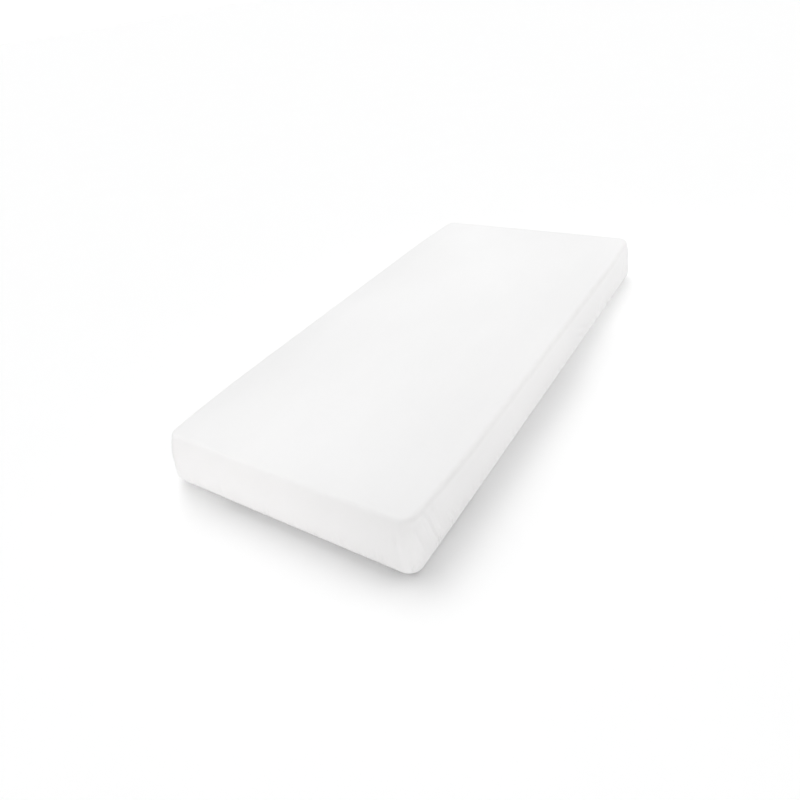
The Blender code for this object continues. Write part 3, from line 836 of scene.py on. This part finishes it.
def ticking():
    m = Nodes("mattress_ticking")
    uv = m.new("ShaderNodeUVMap", uv_map="cloth").outputs[0]
    twill = m.new("ShaderNodeTexWave", bands_direction="DIAGONAL")
    twill.inputs["Scale"].default_value = 260.0
    twill.inputs["Distortion"].default_value = 1.2
    twill.inputs["Detail"].default_value = 1.0
    m.link(uv, twill.inputs["Vector"])
    mottle = m.noise(uv, 28.0, 4.0)
    tone = m.math("ADD", m.math("MULTIPLY", twill.outputs["Fac"], 0.35), m.math("MULTIPLY", mottle, 0.65))
    m.link(m.ramp(tone, ((0.25, (0.700, 0.685, 0.650)), (0.75, (0.790, 0.780, 0.750)))), m.shader.inputs["Base Color"])
    rough = m.new("ShaderNodeMapRange")
    rough.inputs["To Min"].default_value, rough.inputs["To Max"].default_value = 0.72, 0.90
    m.link(mottle, rough.inputs["Value"])
    m.link(rough.outputs[0], m.shader.inputs["Roughness"])
    m.shader.inputs["Specular IOR Level"].default_value = 0.30
    m.shader.inputs["Sheen Weight"].default_value = 0.10
    fine = m.new("ShaderNodeBump", Strength=0.5, Distance=0.0004)
    m.link(twill.outputs["Fac"], fine.inputs["Height"])
    broad = m.new("ShaderNodeBump", Strength=0.4, Distance=0.0020)
    m.link(m.noise(uv, 16.0, 3.0), broad.inputs["Height"])
    m.link(fine.outputs[0], broad.inputs["Normal"])
    m.link(broad.outputs[0], m.shader.inputs["Normal"])
    return m.material


def floor_material():
    m = Nodes("floor")
    place = m.new("ShaderNodeTexCoord").outputs["Object"]
    m.link(m.ramp(m.noise(place, 3.0, 2.0), ((0.3, (0.966, 0.966, 0.966)), (0.7, (0.97, 0.97, 0.97)))),
           m.shader.inputs["Base Color"])
    m.shader.inputs["Roughness"].default_value = 0.9
    m.shader.inputs["Specular IOR Level"].default_value = 0.0
    return m.material


# ---- the object ----------------------------------------------------------------------------------------------
sheet = build_sheet(cotton())
mattress = build_mattress(ticking())
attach(sheet, "root")
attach(mattress, "root")
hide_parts("fitted_sheet")
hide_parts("mattress")

# ---- floor, light and camera ---------------------------------------------------------------------------------
floor_mesh = bpy.data.meshes.new("floor")
SPAN = 40.0
floor_mesh.from_pydata([(-SPAN, -SPAN, 0), (SPAN, -SPAN, 0), (SPAN, SPAN, 0), (-SPAN, SPAN, 0)], [], [(0, 1, 2, 3)])
floor = bpy.data.objects.new("floor", floor_mesh)
floor.location.z = -0.0004
floor_mesh.materials.append(floor_material())
bpy.context.scene.collection.objects.link(floor)

world = bpy.data.worlds.new("studio")
bpy.context.scene.world = world
world.use_nodes = True
tree = world.node_tree
tree.nodes.clear()
out = tree.nodes.new("ShaderNodeOutputWorld")
mix = tree.nodes.new("ShaderNodeMixShader")
seen, lit = tree.nodes.new("ShaderNodeBackground"), tree.nodes.new("ShaderNodeBackground")
seen.inputs["Color"].default_value = (1, 1, 1, 1)
seen.inputs["Strength"].default_value = 1.1
lit.inputs["Color"].default_value = (1, 1, 1, 1)
lit.inputs["Strength"].default_value = 0.25
path = tree.nodes.new("ShaderNodeLightPath")
tree.links.new(path.outputs["Is Camera Ray"], mix.inputs["Fac"])
tree.links.new(lit.outputs[0], mix.inputs[1])
tree.links.new(seen.outputs[0], mix.inputs[2])
tree.links.new(mix.outputs[0], out.inputs["Surface"])


def place_light(data, place, aim):
    obj = bpy.data.objects.new(data.name, data)
    bpy.context.scene.collection.objects.link(obj)
    obj.location = place
    obj.rotation_euler = (Vector(aim) - Vector(place)).to_track_quat("-Z", "Y").to_euler()
    obj.visible_camera = False
    return obj


# Large far sources: where they stand seen from the object (degrees anticlockwise from +X, degrees up), how wide
# they are in degrees, how strong (1 = a white wall facing it looks white), what they light, whether they cast
# shadows, and their colour.
WHITE, WARM = (1.0, 1.0, 1.0), (1.0, 0.972, 0.962)
FAR_COLUMNS = ("name", "turn", "up", "wide", "strength", "lights", "shadow", "colour")
FAR_LIGHTS = (
    ("key", 140.0, 55.0, 40.0, 0.604, "object", True, WHITE),
    ("fill_right", 330.0, 35.0, 50.0, 0.098, "object", True, WARM),
    ("fill_near", 310.0, 35.0, 40.0, 0.286, "object", True, WARM),
    ("fill_front", 270.0, 35.0, 50.0, 0.015, "object", True, WARM),
    ("fill_far", 45.0, 10.0, 50.0, 0.060, "object", True, WARM),
    ("fill_rim", 5.0, 45.0, 50.0, 0.078, "object", True, WHITE),
    ("bounce", 30.0, -25.0, 60.0, 0.094, "object", False, WARM),
    ("floor_key", 140.0, 55.0, 40.0, 0.218, "floor", True, WHITE),
    ("floor_key_high", 140.0, 65.0, 40.0, 0.161, "floor", True, WHITE),
    ("floor_160", 160.0, 45.0, 50.0, 0.054, "floor", True, WHITE),
    ("floor_200", 200.0, 45.0, 60.0, 0.210, "floor", True, WHITE),
    ("floor_20", 20.0, 45.0, 60.0, 0.102, "floor", True, WHITE),
    ("floor_50", 50.0, 45.0, 60.0, 0.152, "floor", True, WHITE),
    ("floor_80", 80.0, 45.0, 60.0, 0.124, "floor", True, WHITE),
)
# Softboxes close to the object: middle, aim, size, watts, what they light, whether they cast shadows and colour.
BOX_COLUMNS = ("name", "place", "aim", "size", "power", "lights", "shadow", "colour")
BOXES = (
    ("top_1", (-0.32, -0.90, 0.62), None, (0.35, 0.35), 0.103, "object", True, WHITE),
    ("top_2", (0.00, -0.90, 0.62), None, (0.35, 0.35), 0.168, "object", True, WHITE),
    ("top_3", (0.00, -0.45, 0.62), None, (0.35, 0.35), 0.137, "object", True, WHITE),
    ("top_4", (-0.32, 0.00, 0.62), None, (0.35, 0.35), 0.177, "object", True, WHITE),
    ("top_5", (0.32, 0.00, 0.62), None, (0.35, 0.35), 0.098, "object", True, WHITE),
    ("top_6", (0.00, 0.45, 0.62), None, (0.35, 0.35), 0.193, "object", True, WHITE),
    ("top_7", (-0.32, 0.90, 0.62), None, (0.35, 0.35), 0.286, "object", True, WHITE),
    ("top_8", (0.32, 0.90, 0.62), None, (0.35, 0.35), 0.075, "object", True, WHITE),
    ("far_right", (0.80, 1.10, 0.60), (0.45, 0.80, 0.18), (0.3, 0.3), 0.500, "object", True, WHITE),
    ("near_left", (-0.55, -1.55, 0.25), (-0.30, -0.95, 0.10), (0.4, 0.3), 0.600, "object", True, WARM),
    ("near_low", (0.00, -1.60, 0.06), (0.00, -0.95, 0.10), (0.8, 0.1), 1.210, "object", True, WARM),
    ("right_low", (1.20, -0.20, 0.06), (0.45, -0.20, 0.10), (0.1, 1.4), 1.150, "object", True, WARM),
    ("floor_near", (0.00, -0.942, 0.008), None, (0.86, 0.008), 0.0042, "floor", False, WHITE),
    ("floor_near_left", (-0.33, -0.953, 0.016), None, (0.20, 0.02), 0.0018, "floor", False, WHITE),
    ("floor_right", (0.442, 0.16, 0.009), None, (0.009, 1.52), 0.0050, "floor", False, WHITE),
    ("floor_right_mid", (0.50, 0.30, 0.040), None, (0.06, 0.36), 0.0075, "floor", False, WHITE),
    ("floor_right_end", (0.50, 0.71, 0.03), None, (0.05, 0.50), 0.0135, "floor", False, WHITE),
    ("floor_far", (0.85, 0.75, 0.45), None, (0.4, 0.4), 0.503, "floor", False, WHITE),
    ("floor_left", (-0.46, -1.00, 0.12), None, (0.12, 0.12), 0.0290, "floor", False, WHITE),
    ("floor_corner", (0.44, -0.955, 0.025), None, (0.07, 0.07), 0.0009, "floor", False, WHITE),
)
receivers = {}
for key, members in (("object", [sheet]), ("floor", [floor])):
    receivers[key] = bpy.data.collections.new("lit_" + key)
    bpy.context.scene.collection.children.link(receivers[key])
    for member in members:
        receivers[key].objects.link(member)
for row in rows(FAR_COLUMNS, FAR_LIGHTS):
    data = bpy.data.lights.new(row["name"], "SUN")
    data.energy, data.angle = row["strength"] * math.pi, math.radians(row["wide"])
    data.color, data.use_shadow = row["colour"], row["shadow"]
    data.cycles.use_multiple_importance_sampling = row["shadow"]
    a, b = math.radians(row["turn"]), math.radians(row["up"])
    lamp = place_light(data, (6 * math.cos(a) * math.cos(b), 6 * math.sin(a) * math.cos(b), 6 * math.sin(b)), (0, 0, 0))
    lamp.light_linking.receiver_collection = receivers[row["lights"]]
for row in rows(BOX_COLUMNS, BOXES):
    data = bpy.data.lights.new(row["name"], "AREA")
    data.shape, data.energy = "RECTANGLE", row["power"]
    data.size, data.size_y = row["size"]
    data.color, data.use_shadow = row["colour"], row["shadow"]
    data.cycles.use_multiple_importance_sampling = row["shadow"]
    lamp = place_light(data, row["place"], row["aim"] or (row["place"][0], row["place"][1], 0))
    lamp.light_linking.receiver_collection = receivers[row["lights"]]

camera_data = bpy.data.cameras.new("camera")
camera = bpy.data.objects.new("camera", camera_data)
bpy.context.scene.collection.objects.link(camera)
bpy.context.scene.camera = camera
camera_data.sensor_fit = "HORIZONTAL"
camera_data.sensor_width = 36.0
camera_data.lens = 630.8 / 800 * 36.0
camera_data.shift_x = 0.0125
camera_data.clip_start, camera_data.clip_end = 0.05, 200.0
forward, right = np.array([-0.49508, 0.65743, -0.56806]), np.array([0.84013, 0.52936, -0.11816])
forward /= np.linalg.norm(forward)
right -= forward * (right @ forward)
right /= np.linalg.norm(right)
up = np.cross(right, forward)
place = Matrix(np.c_[right, up, -forward].tolist()).to_4x4()
place.translation = (1.0749, -1.7812, 1.2853)
camera.matrix_world = place

scene = bpy.context.scene
scene.view_settings.view_transform = "Standard"
scene.view_settings.look = "None"
scene.view_settings.exposure = 0.0
scene.view_settings.gamma = 1.0
